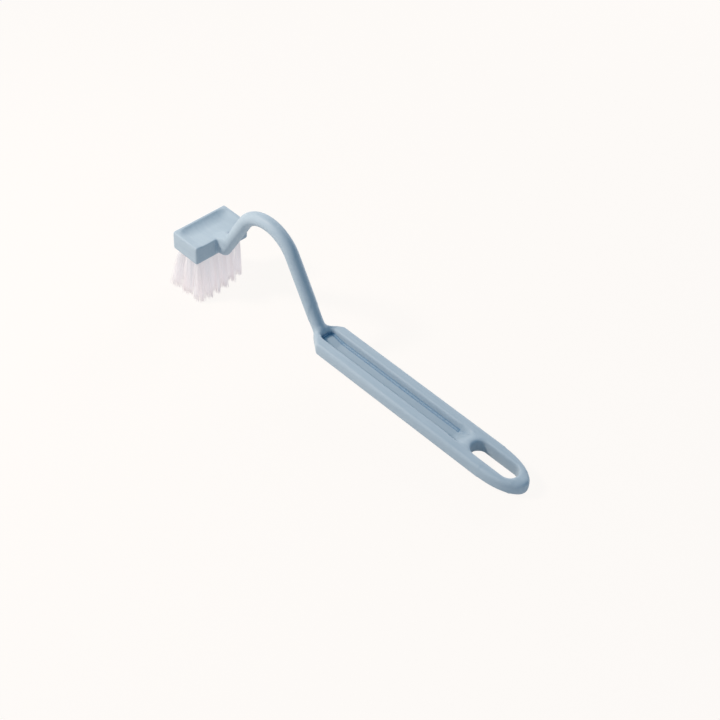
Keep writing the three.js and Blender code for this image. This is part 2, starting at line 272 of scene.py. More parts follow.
@dataclass(frozen=True)
class MouldedPlastic:
    """Satin polypropylene, cloudy and drag-lined, with painted edge highlights and painted crease
    shade.
    """

    name: str = "moulded_blue_plastic"
    body: Colour = (0.350, 0.468, 0.556)
    cloud: Colour = (0.400, 0.516, 0.598)
    # Painted highlight: a paler tint on convex edges.
    edge_highlight: Colour = (0.440, 0.555, 0.635)
    # Painted shade: a deep blue tint where ambient occlusion finds creases and recesses.
    crease_shade: Colour = (0.050, 0.185, 0.340)
    # Painted shade: a darker tint in the sharpest inner corners.
    corner_shade: Colour = (0.012, 0.075, 0.170)
    edge_highlight_band: Band = (0.505, 0.570)
    edge_highlight_share: float = 0.55
    crease_shade_reach: float = 0.0019
    crease_shade_rays: int = 8
    crease_shade_band: Band = (0.74, 0.84)
    crease_shade_share: float = 0.88
    corner_shade_band: Band = (0.400, 0.470)
    roughness: float = 0.46
    roughness_spread: float = 0.12
    cloud_scale: float = 55.0
    cloud_share: float = 0.3
    drag_scale: float = 900.0
    drag_stretch: Colour = (0.03, 1.0, 1.0)
    drag_band: Band = (0.28, 0.72)
    grain_scale: float = 2600.0
    grain_share: float = 0.6
    relief_depth: float = 0.00003
    relief_strength: float = 0.35
    specular: float = 0.14

    def material(self) -> Material:
        """Builds the node material."""
        material, bench = new_bench(self.name)
        clouds = bench.noise(self.cloud_scale, detail=4.0)
        drag = bench.noise(self.drag_scale, detail=2.0, stretch=self.drag_stretch)
        grain = bench.noise(self.grain_scale, detail=2.0)
        lines = bench.ramp(drag, self.drag_band)
        mottle = clouds * self.cloud_share + lines * (1.0 - self.cloud_share)
        tint = bench.mix(mottle, self.body, self.cloud)
        sharp = bench.make("ShaderNodeNewGeometry", out="Pointiness")
        # Painted highlight: convex edges are made paler.
        convex = bench.ramp(sharp, self.edge_highlight_band)
        tint = bench.mix(convex * self.edge_highlight_share, tint, self.edge_highlight)
        # Painted shade: creases and recesses darken by ambient occlusion.
        hollow = bench.ramp(self._openness(bench), self.crease_shade_band, falling=True)
        tint = bench.mix(hollow * self.crease_shade_share, tint, self.crease_shade)
        # Painted shade: the tightest inner corners darken further.
        corner_shade_mask = bench.ramp(sharp, self.corner_shade_band, falling=True)
        tint = bench.mix(corner_shade_mask, tint, self.corner_shade)
        relief = grain * self.grain_share + drag * (1.0 - self.grain_share)
        bench.principled(
            {
                "Base Color": tint,
                "Roughness": self.roughness + (drag - 0.5) * self.roughness_spread,
                "Specular IOR Level": self.specular,
                "Normal": bench.bump(relief, self.relief_depth, self.relief_strength),
            }
        )
        return material

    def _openness(self, bench: NodeBench) -> Signal:
        """How open the surface is to its surroundings, within the creases' reach."""
        facing = bench.make("ShaderNodeNewGeometry", out="True Normal")
        return bench.make(
            "ShaderNodeAmbientOcclusion",
            {"samples": self.crease_shade_rays, "only_local": True},
            {"Distance": self.crease_shade_reach, "Normal": facing},
            out="AO",
        )


@dataclass(frozen=True)
class NylonFilament:
    """Streaked white nylon; a painted glow stands in for light through the tips, dimmer at the
    roots.
    """

    name: str = "white_nylon_filament"
    bright: Colour = (0.620, 0.680, 0.700)
    streak: Colour = (0.590, 0.595, 0.605)
    # Painted shade and reflection: the tint near the roots, under the head.
    root: Colour = (0.640, 0.670, 0.700)
    roughness: float = 0.42
    roughness_spread: float = 0.2
    streak_scale: float = 520.0
    streak_stretch: Colour = (1.0, 1.0, 0.04)
    streak_band: Band = (0.42, 0.72)
    root_height: float = 0.023
    root_fade: float = 0.018
    root_shade_share: float = 0.50
    # Emission colours: a painted glow for light through the tips, dimmer at the roots.
    through: Colour = (0.880, 0.740, 0.745)
    shade: Colour = (0.670, 0.600, 0.600)
    glow: float = 0.38

    def material(self) -> Material:
        """Builds the node material."""
        material, bench = new_bench(self.name)
        streaks = bench.noise(self.streak_scale, stretch=self.streak_stretch)
        tint = bench.mix(bench.ramp(streaks, self.streak_band), self.bright, self.streak)
        here = bench.make("ShaderNodeTexCoord", out="Object")
        height = bench.make("ShaderNodeSeparateXYZ", None, {"Vector": here}, out="Z")
        near_root = bench.make(
            "ShaderNodeMapRange",
            {"clamp": True},
            {
                "Value": height,
                "From Min": self.root_height - self.root_fade,
                "From Max": self.root_height,
            },
        )
        # Painted shade and reflection of the head near the roots.
        tint = bench.mix(near_root * self.root_shade_share, tint, self.root)
        # Painted glow: emission for light through the strands, dimmer near the roots where the head
        # shades them.
        light = bench.mix(near_root, self.through, self.shade)
        bench.principled(
            {
                "Base Color": tint,
                "Roughness": self.roughness + (streaks - 0.5) * self.roughness_spread,
                "Emission Color": light,
                "Emission Strength": self.glow,
            }
        )
        return material


@dataclass(frozen=True)
class AnchorWire:
    """Bright flat wire, drawn along its length."""

    name: str = "anchor_wire"
    bright: Colour = (0.62, 0.63, 0.65)
    dull: Colour = (0.42, 0.43, 0.45)
    roughness: float = 0.25
    roughness_spread: float = 0.25
    draw_scale: float = 1800.0
    draw_stretch: Colour = (0.05, 1.0, 1.0)
    draw_depth: float = 0.00001
    draw_strength: float = 0.5

    def material(self) -> Material:
        """Builds the node material."""
        material, bench = new_bench(self.name)
        drawn = bench.noise(self.draw_scale, stretch=self.draw_stretch)
        bench.principled(
            {
                "Base Color": bench.mix(drawn, self.dull, self.bright),
                "Metallic": 1.0,
                "Roughness": self.roughness + drawn * self.roughness_spread,
                "Normal": bench.bump(drawn, self.draw_depth, self.draw_strength),
            }
        )
        return material


@dataclass(frozen=True)
class StudioSheet:
    """Warm white sheet that stays white to the eye and keeps a soft shadow."""

    name: str = "studio_sheet"
    colour: Colour = (1.0, 0.973, 0.947)
    lit_colour: Colour = (0.75, 0.735, 0.72)
    plain_share: float = 0.94

    def seen(self, bench: NodeBench) -> Signal:
        """One where the sheet is seen directly, in a gloss or through something clear."""
        rays = [
            bench.make("ShaderNodeLightPath", out=name)
            for name in ("Is Camera Ray", "Is Glossy Ray", "Is Transmission Ray")
        ]
        return bench.math("MAXIMUM", rays[0], bench.math("MAXIMUM", rays[1], rays[2]))

    def material(self) -> Material:
        """Builds the node material."""
        material, bench = new_bench(self.name)
        colour = (*self.colour, 1.0)
        lit = bench.make("ShaderNodeBsdfDiffuse", None, {"Color": (*self.lit_colour, 1.0)})
        plain = bench.make("ShaderNodeEmission", None, {"Color": colour, "Strength": 1.0})
        shader = bench.make(
            "ShaderNodeMixShader",
            None,
            {0: self.seen(bench) * self.plain_share, 1: lit, 2: plain},
        )
        bench.surface(shader)
        return material


# Modelling helpers


def round_edges(bm: BMesh, edges: Iterable[BMEdge], radius: float, segments: int) -> None:
    """Rounds edges to a circular section.

    Args:
        bm: The mesh that holds the edges.
        edges: The edges to round.
        radius: Radius of the rounding.
        segments: Faces across the rounding.
    """
    bmesh.ops.bevel(
        bm,
        geom=list(edges),
        offset=radius,
        offset_type="OFFSET",
        segments=segments,
        profile=0.5,
        affect="EDGES",
        material=-1,
        clamp_overlap=True,
    )


def level_edges(bm: BMesh, height: float) -> list[BMEdge]:
    """Edges that lie wholly at one height."""
    return [
        edge
        for edge in bm.edges
        if all(math.isclose(vert.co.z, height, abs_tol=TINY) for vert in edge.verts)
    ]


def upright_edges(bm: BMesh) -> list[BMEdge]:
    """Edges that stand straight up."""
    return [
        edge
        for edge in bm.edges
        if (edge.verts[0].co - edge.verts[1].co).xy.length < TINY
    ]


def cap_ends(bm: BMesh) -> None:
    """Closes a tube's open ends."""
    open_edges = [edge for edge in bm.edges if edge.is_boundary]
    bmesh.ops.holes_fill(bm, edges=open_edges, sides=0)


def as_object(name: str, bm: BMesh) -> Object:
    """Turns a finished bmesh into a linked object and frees it.

    Args:
        name: Name of the object.
        bm: The mesh, closed and merged.

    Returns:
        The new object at the origin.
    """
    bmesh.ops.recalc_face_normals(bm, faces=bm.faces)
    mesh = bpy.data.meshes.new(name)
    bm.to_mesh(mesh)
    bm.free()
    made = bpy.data.objects.new(name, mesh)
    bpy.context.scene.collection.objects.link(made)
    return made


def settle(piece: Object) -> None:
    """Bakes a piece's modifiers into its mesh."""
    graph = bpy.context.evaluated_depsgraph_get()
    finished = bpy.data.meshes.new_from_object(piece.evaluated_get(graph), depsgraph=graph)
    piece.modifiers.clear()
    piece.data = finished


def combine(piece: Object, other: BMesh, how: Combine) -> None:
    """Joins a second shape to a piece or cuts it away.

    Args:
        piece: The piece to change.
        other: The second shape, used up.
        how: Whether it is joined or removed.
    """
    tool = as_object("tool", other)
    modifier = piece.modifiers.new("combine", "BOOLEAN")
    modifier.operation = how.value
    modifier.solver = "EXACT"
    modifier.object = tool
    settle(piece)
    bpy.data.objects.remove(tool)


class PlanPen:
    """Draws a closed plan outline out of straight runs and arcs."""

    def __init__(self, height: float) -> None:
        """Starts an empty plan at the given height."""
        self.bm = bmesh.new()
        self.height = height
        self.first: BMVert | None = None
        self.last: BMVert | None = None

    def go(self, x: float, y: float) -> None:
        """Draws a straight run to a point, or starts the outline there."""
        vert = self.bm.verts.new((x, y, self.height))
        if self.last is None:
            self.first = vert
        else:
            self.bm.edges.new((self.last, vert))
        self.last = vert

    def arc(self, x: float, y: float, turn: float, steps: int) -> list[BMVert]:
        """Swings the pen about a centre.

        Args:
            x: The centre's x.
            y: The centre's y.
            turn: Angle in radians, counter-clockwise seen from above.
            steps: Edges along the arc.

        Returns:
            The points of the arc after its start.
        """
        before = set(self.bm.verts)
        swung = bmesh.ops.spin(
            self.bm,
            geom=[self.last],
            cent=(x, y, self.height),
            axis=UP,
            angle=turn,
            steps=steps,
        )
        self.last = next(g for g in swung["geom_last"] if isinstance(g, BMVert))
        return [vert for vert in self.bm.verts if vert not in before]

    def plate(self, top: float) -> BMesh:
        """Closes the outline and raises it to a plate.

        Args:
            top: Height of the plate's upper face.

        Returns:
            The closed plate.
        """
        self.bm.edges.new((self.last, self.first))
        bmesh.ops.contextual_create(self.bm, geom=self.bm.edges[:])
        raised = bmesh.ops.extrude_face_region(self.bm, geom=self.bm.faces[:])
        moved = [g for g in raised["geom"] if isinstance(g, BMVert)]
        bmesh.ops.translate(self.bm, vec=UP * (top - self.height), verts=moved)
        return self.bm


class TubeSweep:
    """Pushes a ring along straight runs and bends in the upright middle plane."""

    def __init__(self, start: Vector, radius: float, sides: int) -> None:
        """Starts a ring that heads along x.

        Args:
            start: Middle of the first ring.
            radius: The tube's radius.
            sides: Edges round the ring.
        """
        self.bm = bmesh.new()
        self.here = start.copy()
        self.heading = 0.0
        facing = Matrix.Translation(start) @ Matrix.Rotation(math.pi / 2, 4, "Y")
        bmesh.ops.create_circle(self.bm, radius=radius, segments=sides, matrix=facing)
        self.ring: Ring = [*self.bm.verts, *self.bm.edges]

    def _direction(self) -> Vector:
        """The way that the tube is heading."""
        return Vector((math.cos(self.heading), 0.0, math.sin(self.heading)))

    def run(self, length: float, steps: int) -> None:
        """Goes straight on.

        Args:
            length: Length of the run.
            steps: Rings along it.
        """
        step = self._direction() * (length / steps)
        swept = bmesh.ops.spin(
            self.bm, geom=self.ring, cent=self.here, axis=ACROSS, dvec=step, angle=0.0, steps=steps
        )
        self.ring = swept["geom_last"]
        self.here = self.here + step * steps

    def bend(self, radius: float, turn: float, steps: int) -> None:
        """Bends upwards or downwards.

        Args:
            radius: Radius of the bend's centreline.
            turn: Change of heading in radians, positive upwards.
            steps: Rings along it.
        """
        side = math.copysign(1.0, turn)
        sideways = Vector((-math.sin(self.heading), 0.0, math.cos(self.heading)))
        centre = self.here + sideways * (side * radius)
        swept = bmesh.ops.spin(
            self.bm, geom=self.ring, cent=centre, axis=ACROSS, angle=-turn, steps=steps
        )
        self.ring = swept["geom_last"]
        spoke = Matrix.Rotation(-turn, 4, "Y") @ (self.here - centre)
        self.here = centre + spoke
        self.heading += turn

    def close(self) -> BMesh:
        """Caps both ends and returns the tube."""
        bmesh.ops.remove_doubles(self.bm, verts=self.bm.verts, dist=TINY)
        cap_ends(self.bm)
        return self.bm


# The brush


@dataclass(frozen=True)
class RestPose:
    """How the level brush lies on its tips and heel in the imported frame."""

    slope: float = 15.3 / 190.2
    heel: float = 198.5
    origin_x: float = -97.216
    origin_z: float = 15.914

    def matrix(self) -> Matrix:
        """The turn, shift and change of unit from the level brush to the frame."""
        shift = Matrix.Translation((self.origin_x * MM, 0.0, self.origin_z * MM))
        return shift @ Matrix.Rotation(math.atan(self.slope), 4, "Y") @ Matrix.Scale(MM, 4)

    def ground(self, x: float) -> float:
        """Height of the supporting surface below a point of the level brush."""
        return (x - self.heel) * self.slope


@dataclass(frozen=True)
class HeadBlock:
    """The block that carries the tufts, with a scoop in its top."""

    length: float = 16.6
    width: float = 30.6
    height: float = 9.5
    lift: float = 7.9
    corner_radius: float = 0.8
    edge_radius: float = 0.6
    scoop_rim: float = 1.3
    scoop_end_rim: float = 1.1
    scoop_wall_run: float = 2.7
    scoop_end_run: float = 3.4
    scoop_depth: float = 2.4
    scoop_round: float = 3.2
    scoop_lip: float = 0.1
    scoop_headroom: float = 5.0
    roof: float = 1.1
    hole_diameter: float = 3.2
    hole_depth: float = 6.0
    tuft_rows: int = 3
    tufts_per_row: int = 6
    row_pitch: float = 4.633
    tuft_pitch: float = 4.6

    @property
    def top(self) -> float:
        """Height of the rim."""
        return self.lift + self.height

    def tuft_steps(self, row: TuftRow, tuft: int) -> tuple[float, float]:
        """Steps of a tuft from the middle of them all, along the brush and across it."""
        return row.value - (self.tuft_rows - 1) / 2, tuft - (self.tufts_per_row - 1) / 2

    def tuft_root(self, row: TuftRow, tuft: int) -> Vector:
        """Middle of a tuft's hole on the underside.

        Args:
            row: The tuft's row.
            tuft: Its number along the row.

        Returns:
            The point on the head's underside.
        """
        along, across = self.tuft_steps(row, tuft)
        x = self.length / 2 + along * self.row_pitch
        return Vector((x, across * self.tuft_pitch, self.lift))

    def blank(self) -> BMesh:
        """The rounded block before the scoop."""
        bm = bmesh.new()
        middle = Matrix.Translation((self.length / 2, 0.0, self.lift + self.height / 2))
        size = Matrix.Diagonal((self.length, self.width, self.height, 1.0))
        bmesh.ops.create_cube(bm, size=1.0, matrix=middle @ size)
        round_edges(bm, upright_edges(bm), self.corner_radius, segments=5)
        rims = level_edges(bm, self.lift) + level_edges(bm, self.top)
        round_edges(bm, rims, self.edge_radius, segments=4)
        return bm

    def scoop(self) -> BMesh:
        """The hollow in the top: three sloped walls and a floor that rises to the neck's side."""
        bm = bmesh.new()
        bed = self.top - self.scoop_depth
        lip = self.top - self.scoop_lip
        ceiling = self.top + self.scoop_headroom
        far = self.length + OVERSHOOT
        for side in (-1.0, 1.0):
            for height in (bed, ceiling):
                bm.verts.new((self._scoop_wall(height), side * self._scoop_end(height), height))
            for height in (lip, ceiling):
                bm.verts.new((far, side * self._scoop_end(height), height))
        bmesh.ops.convex_hull(bm, input=bm.verts[:])
        bmesh.ops.dissolve_limit(bm, angle_limit=0.01, verts=bm.verts, edges=bm.edges)
        low = [
            edge
            for edge in bm.edges
            if min(vert.co.z for vert in edge.verts) < bed + TINY
        ]
        round_edges(bm, low, self.scoop_round, segments=6)
        return bm

    def floor(self, x: float) -> float:
        """Height of the scoop's floor."""
        bed = self.top - self.scoop_depth
        foot = self._scoop_wall(bed)
        rise = (self.scoop_depth - self.scoop_lip) / (self.length + OVERSHOOT - foot)
        return bed + (x - foot) * rise

    def _scoop_wall(self, height: float) -> float:
        """Where the long wall of the scoop stands at a height."""
        return self.scoop_rim + (self.top - height) * self.scoop_wall_run / self.scoop_depth

    def _scoop_end(self, height: float) -> float:
        """Half the scoop's width at a height."""
        run = (self.top - height) * self.scoop_end_run / self.scoop_depth
        return self.width / 2 - self.scoop_end_rim - run

    def holes(self) -> BMesh:
        """The blind holes that the tufts are set in."""
        bm = bmesh.new()
        for row in TuftRow:
            for tuft in range(self.tufts_per_row):
                root = self.tuft_root(row, tuft)
                middle = root + UP * ((self.hole_depth - OVERSHOOT) / 2)
                bmesh.ops.create_cone(
                    bm,
                    cap_ends=True,
                    segments=20,
                    radius1=self.hole_diameter / 2,
                    radius2=self.hole_diameter / 2,
                    depth=self.hole_depth + OVERSHOOT,
                    matrix=Matrix.Translation(middle),
                )
        return bm


@dataclass(frozen=True)
class ArchedNeck:
    """The round neck: out of the head, up, over the arch and down into the grip."""

    head: HeadBlock
    diameter: float = 6.4
    rise: float = math.radians(60.0)
    fall: float = math.radians(58.0)
    arch_radius: float = 18.0
    arch_height: float = 42.9
    root_bend: float = 5.0
    root_depth: float = 4.5
    root_wall: float = 0.8
    foot_bend: float = 8.0
    foot_height: float = 3.4
    sides: int = 32
    root_corner: float = 1.2
    fairing_run: float = 3.5
    fairing_width: float = 6.0
    fairing_reach: float = 5.5

    @property
    def root_height(self) -> float:
        """Height of the neck's middle where it leaves the head."""
        return self.head.lift + self.diameter / 2

    def _rise_length(self) -> float:
        """Length of the straight run up to the arch."""
        bends = (self.root_bend + self.arch_radius) * (1 - math.cos(self.rise))
        return (self.arch_height - self.root_height - bends) / math.sin(self.rise)

    def _fall_length(self) -> float:
        """Length of the straight run down from the arch."""
        bends = (self.foot_bend + self.arch_radius) * (1 - math.cos(self.fall))
        return (self.arch_height - self.foot_height - bends) / math.sin(self.fall)

    def _start(self) -> Vector:
        """Middle of the neck's first ring, inside the head."""
        return Vector((self.head.length - self.root_depth, 0.0, self.root_height))

    def sweep(self) -> BMesh:
        """The whole neck as one closed tube."""
        tube = TubeSweep(self._start(), self.diameter / 2, self.sides)
        tube.run(self.root_depth - self.root_wall, steps=2)
        tube.bend(self.root_bend, self.rise, steps=10)
        tube.run(self._rise_length(), steps=6)
        tube.bend(self.arch_radius, -(self.rise + self.fall), steps=36)
        tube.run(self._fall_length(), steps=10)
        tube.bend(self.foot_bend, self.fall, steps=12)
        return tube.close()

    def root(self) -> BMesh:
        """The thickened root: a knuckle under the bend and a fairing from the scoop's floor."""
        radius = self.diameter / 2
        bm = bmesh.new()
        self._root_foot(bm)
        corner = self.head.length - self.root_wall + self.root_bend * math.tan(self.rise / 2)
        knuckle = Matrix.Translation((corner, 0.0, self.root_height))
        bmesh.ops.create_uvsphere(
            bm, u_segments=self.sides, v_segments=self.sides // 2, radius=radius, matrix=knuckle
        )
        tube = TubeSweep(self._start(), radius, self.sides)
        tube.run(self.root_depth - self.root_wall, steps=1)
        tube.bend(self.root_bend, self.rise, steps=1)
        tube.run(self.fairing_reach, steps=1)
        ring = Matrix.Translation(tube.here) @ Matrix.Rotation(math.pi / 2 - tube.heading, 4, "Y")
        tube.bm.free()
        bmesh.ops.create_circle(bm, radius=radius, segments=self.sides, matrix=ring)
        for step in range(self.sides // 2 + 1):
            angle = math.pi * (0.5 + step / (self.sides // 2))
            x = self.head.length - self.root_wall + self.fairing_run * math.cos(angle)
            y = self.fairing_width / 2 * math.sin(angle)
            bm.verts.new((x, y, self.head.floor(x)))
        hull = bmesh.ops.convex_hull(bm, input=bm.verts[:])
        spare = {g for key in ("geom_interior", "geom_unused") for g in hull[key]}
        loose = [g for g in spare if isinstance(g, BMVert)]
        bmesh.ops.delete(bm, geom=loose, context="VERTS")
        return bm

    def _root_foot(self, bm: BMesh) -> None:
        """Adds the squarish foot of the root, inside the head."""
        back = self.head.length - self.root_depth
        low = self.head.lift + self.root_corner
        high = self.head.floor(back) - self.head.roof - self.root_corner
        side = self.diameter / 2 - self.root_corner
        across = Matrix.Rotation(math.pi / 2, 4, "Y")
        for y in (-side, side):
            for z in (low, high):
                bmesh.ops.create_circle(
                    bm,
                    radius=self.root_corner,
                    segments=self.sides // 2,
                    matrix=Matrix.Translation((back, y, z)) @ across,
                )


@dataclass(frozen=True)
class GroovedGrip:
    """The flat grip: flared shoulders, a long round end, a groove and a hang slot."""

    start: float = 80.6
    end: float = 200.0
    width: float = 17.2
    height: float = 6.8
    edge_radius: float = 1.5
    end_length: float = 19.0
    shoulder_length: float = 7.4
    shoulder_width: float = 6.3
    groove_width: float = 7.4
    groove_depth: float = 4.5
    groove_corner: float = 2.5
    groove_end_wall: float = 3.9
    ramp_run: float = 6.2
    ramp_radius: float = 7.2
    lift_run: float = 8.0
    lift_height: float = 1.3
    slot_length: float = 23.2
    slot_width: float = 8.4
    slot_end_wall: float = 5.8

    def blank(self) -> BMesh:
        """The rounded plate before the groove and the slot."""
        half = self.width / 2
        neck = self.shoulder_width / 2
        end_middle = self.end - self.end_length
        shoulder = self.start + self.shoulder_length
        pen = PlanPen(0.0)
        pen.go(shoulder, half)
        pen.go(self.start, neck)
        pen.go(self.start, -neck)
        pen.go(shoulder, -half)
        pen.go(end_middle, -half)
        tip = pen.arc(end_middle, 0.0, math.pi, steps=28)
        about = Matrix.Translation((-end_middle, 0.0, 0.0))
        stretch = Vector((self.end_length / half, 1.0, 1.0))
        bmesh.ops.scale(pen.bm, vec=stretch, space=about, verts=tip)
        bm = pen.plate(self.height)
        rims = level_edges(bm, 0.0) + level_edges(bm, self.height)
        round_edges(bm, rims, self.edge_radius, segments=5)
        return bm

    def groove_start(self) -> float:
        """Where the groove begins."""
        return self.start + self.groove_end_wall

    def ramp_foot(self) -> float:
        """Where the ramp rises off the groove's bed, in the middle."""
        return self.slot_start() + self.slot_width / 2 - self.ramp_run - self.ramp_radius

    def slot_start(self) -> float:
        """Where the hang slot begins."""
        return self.end - self.slot_end_wall - self.slot_length

    def groove(self) -> BMesh:
        """The groove's cutter: its bed lifts at the start and ramps up to the slot's rim."""
        half = self.groove_width / 2
        corner = self.groove_corner
        begin = self.groove_start()
        bed = self.height - self.groove_depth
        ceiling = self.height + OVERSHOOT
        rim_middle = self.slot_start() + self.slot_width / 2
        reach = math.asin(half / self.ramp_radius)
        foot = rim_middle - self.ramp_run
        pen = PlanPen(bed)
        pen.go(begin + corner, half)
        pen.arc(begin + corner, half - corner, math.pi / 2, steps=8)
        pen.go(begin, corner - half)
        pen.arc(begin + corner, corner - half, math.pi / 2, steps=8)
        pen.go(foot - self.ramp_radius * math.cos(reach), -half)
        pen.arc(foot, 0.0, -2 * reach, steps=12)
        bm = pen.plate(ceiling)
        crest = [
            vert
            for vert in bm.verts
            if vert.co.z > self.height and vert.co.x > foot - self.ramp_radius - OVERSHOOT
        ]
        run = self.ramp_run * (ceiling - bed) / self.groove_depth
        bmesh.ops.translate(bm, vec=(run, 0.0, 0.0), verts=crest)
        lifted = begin + self.lift_run
        everything = [*bm.verts, *bm.edges, *bm.faces]
        bmesh.ops.bisect_plane(
            bm, geom=everything, dist=TINY, plane_co=(lifted, 0.0, 0.0), plane_no=(1.0, 0.0, 0.0)
        )
        low = [vert for vert in bm.verts if vert.co.z < ceiling - 10 * TINY]
        heel = [vert for vert in low if vert.co.x < lifted - 10 * TINY]
        bmesh.ops.translate(bm, vec=UP * self.lift_height, verts=heel)
        return bm

    def slot(self) -> BMesh:
        """The hang slot's cutter, round at both ends."""
        half = self.slot_width / 2
        near = self.slot_start() + half
        far = self.slot_start() + self.slot_length - half
        pen = PlanPen(-OVERSHOOT)
        pen.go(far, -half)
        pen.arc(far, 0.0, math.pi, steps=24)
        pen.go(near, half)
        pen.arc(near, 0.0, math.pi, steps=24)
        return pen.plate(self.height + OVERSHOOT)


@dataclass(frozen=True)
class HandleMoulding:
    """Head, neck and grip moulded in one, with soft inner corners."""

    pose: RestPose
    head: HeadBlock
    neck: ArchedNeck
    grip: GroovedGrip
    finish: MouldedPlastic
    node: str = "handle"
    voxel: float = 0.36
    smoothing: int = 4
    root_smoothing: int = 26
    foot_smoothing: int = 60
    rim_smoothing: int = 16
    ramp_smoothing: int = 45
    slot_smoothing: int = 18
    end_smoothing: int = 22
    crisp_height: float = 4.1
    crisp_side: float = 4.6
    margin: float = 1.0
    root_share_inside: float = 1.2
    root_share_outside: float = 0.6
    foot_reach: float = 4.0
    rim_reach: float = 1.5
    ramp_gap: float = 0.5
    end_share: float = 0.62
    end_reach: float = 4.5

    def build(self) -> Object:
        """Models the moulding, lays it down and dresses it."""
        piece = as_object("handle_moulding", self.head.blank())
        combine(piece, self.head.scoop(), Combine.REMOVE)
        for part in (self.neck.sweep(), self.neck.root(), self.grip.blank()):
            combine(piece, part, Combine.JOIN)
        for part in (self.grip.groove(), self.grip.slot(), self.head.holes()):
            combine(piece, part, Combine.REMOVE)
        self._soften(piece)
        piece.data.transform(self.pose.matrix())
        piece.data.shade_smooth()
        piece.data.materials.clear()
        piece.data.materials.append(self.finish.material())
        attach(piece, BODY)
        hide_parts(self.node)
        return piece

    def _soften(self, piece: Object) -> None:
        """Gives the joined shape one even skin and rounds all but the groove's bed."""
        remesh = piece.modifiers.new("skin", "REMESH")
        remesh.mode = "VOXEL"
        remesh.voxel_size = self.voxel
        settle(piece)
        bm = bmesh.new()
        bm.from_mesh(piece.data)
        zones = (
            (self._off_bed, self.smoothing),
            (self._near_root, self.root_smoothing),
            (self._near_foot, self.foot_smoothing),
            (self._on_rim, self.rim_smoothing),
            (self._on_ramp, self.ramp_smoothing),
            (self._on_slot_rim, self.slot_smoothing),
            (self._at_end, self.end_smoothing),
        )
        for belongs, passes in zones:
            self._smooth(bm, [vert for vert in bm.verts if belongs(vert.co)], passes)
        bm.to_mesh(piece.data)
        bm.free()

    def _off_bed(self, point: Vector) -> bool:
        """Whether a point lies off the groove's bed and the foot of its walls."""
        inside = self.grip.groove_start() - self.margin < point.x < self.grip.ramp_foot()
        low = self.margin < point.z < self.crisp_height
        return not (inside and low and abs(point.y) < self.crisp_side)

    def _near_root(self, point: Vector) -> bool:
        """Whether a point belongs to the blend between the scoop's floor and the neck."""
        past = point.x - self.head.length
        inside = past < -self.margin
        share = self.root_share_inside if inside else self.root_share_outside
        beside = abs(point.y) < self.neck.diameter * share
        along = abs(past) < 2 * self.neck.fairing_run
        return along and beside and point.z > self.head.lift + self.margin

    def _near_foot(self, point: Vector) -> bool:
        """Whether a point belongs to the blend between the neck and the grip's shoulders."""
        begin = self.grip.groove_start()
        along = self.grip.start - self.foot_reach < point.x < begin + self.margin
        outside = point.x < begin - self.margin or point.z > self.grip.height - self.margin
        return along and outside and point.z > self.grip.height / 2

    def _on_rim(self, point: Vector) -> bool:
        """Whether a point belongs to the groove's upper rims."""
        along = self.grip.groove_start() + self.margin < point.x < self.grip.ramp_foot()
        beside = abs(abs(point.y) - self.grip.groove_width / 2) < self.rim_reach
        return along and beside and point.z > self.crisp_height

    def _on_ramp(self, point: Vector) -> bool:
        """Whether a point belongs to the ramp at the slot's end of the groove."""
        begin = self.grip.ramp_foot() - self.margin
        along = begin < point.x < self.grip.slot_start() - self.ramp_gap
        beside = abs(point.y) < self.grip.groove_width / 2 + self.margin
        return along and beside and point.z > self.margin

    def _on_slot_rim(self, point: Vector) -> bool:
        """Whether a point belongs to the slot's upper rim."""
        along = point.x > self.grip.slot_start() - self.margin
        beside = abs(point.y) < self.grip.slot_width / 2 + self.rim_reach
        return along and beside and point.z > self.grip.height / 2

    def _at_end(self, point: Vector) -> bool:
        """Whether a point belongs to the outer edge of the grip's round end."""
        beyond = point.x > self.grip.end - self.grip.end_length
        beside = abs(point.y) > self.grip.slot_width * self.end_share
        return beyond and (beside or point.x > self.grip.end - self.end_reach)

    @staticmethod
    def _smooth(bm: BMesh, verts: list[BMVert], passes: int) -> None:
        """Evens out some vertices.

        Args:
            bm: The mesh that holds them.
            verts: The vertices to even out.
            passes: How many times.
        """
        for _ in range(passes):
            bmesh.ops.smooth_vert(
                bm, verts=verts, factor=0.5, use_axis_x=True, use_axis_y=True, use_axis_z=True
            )


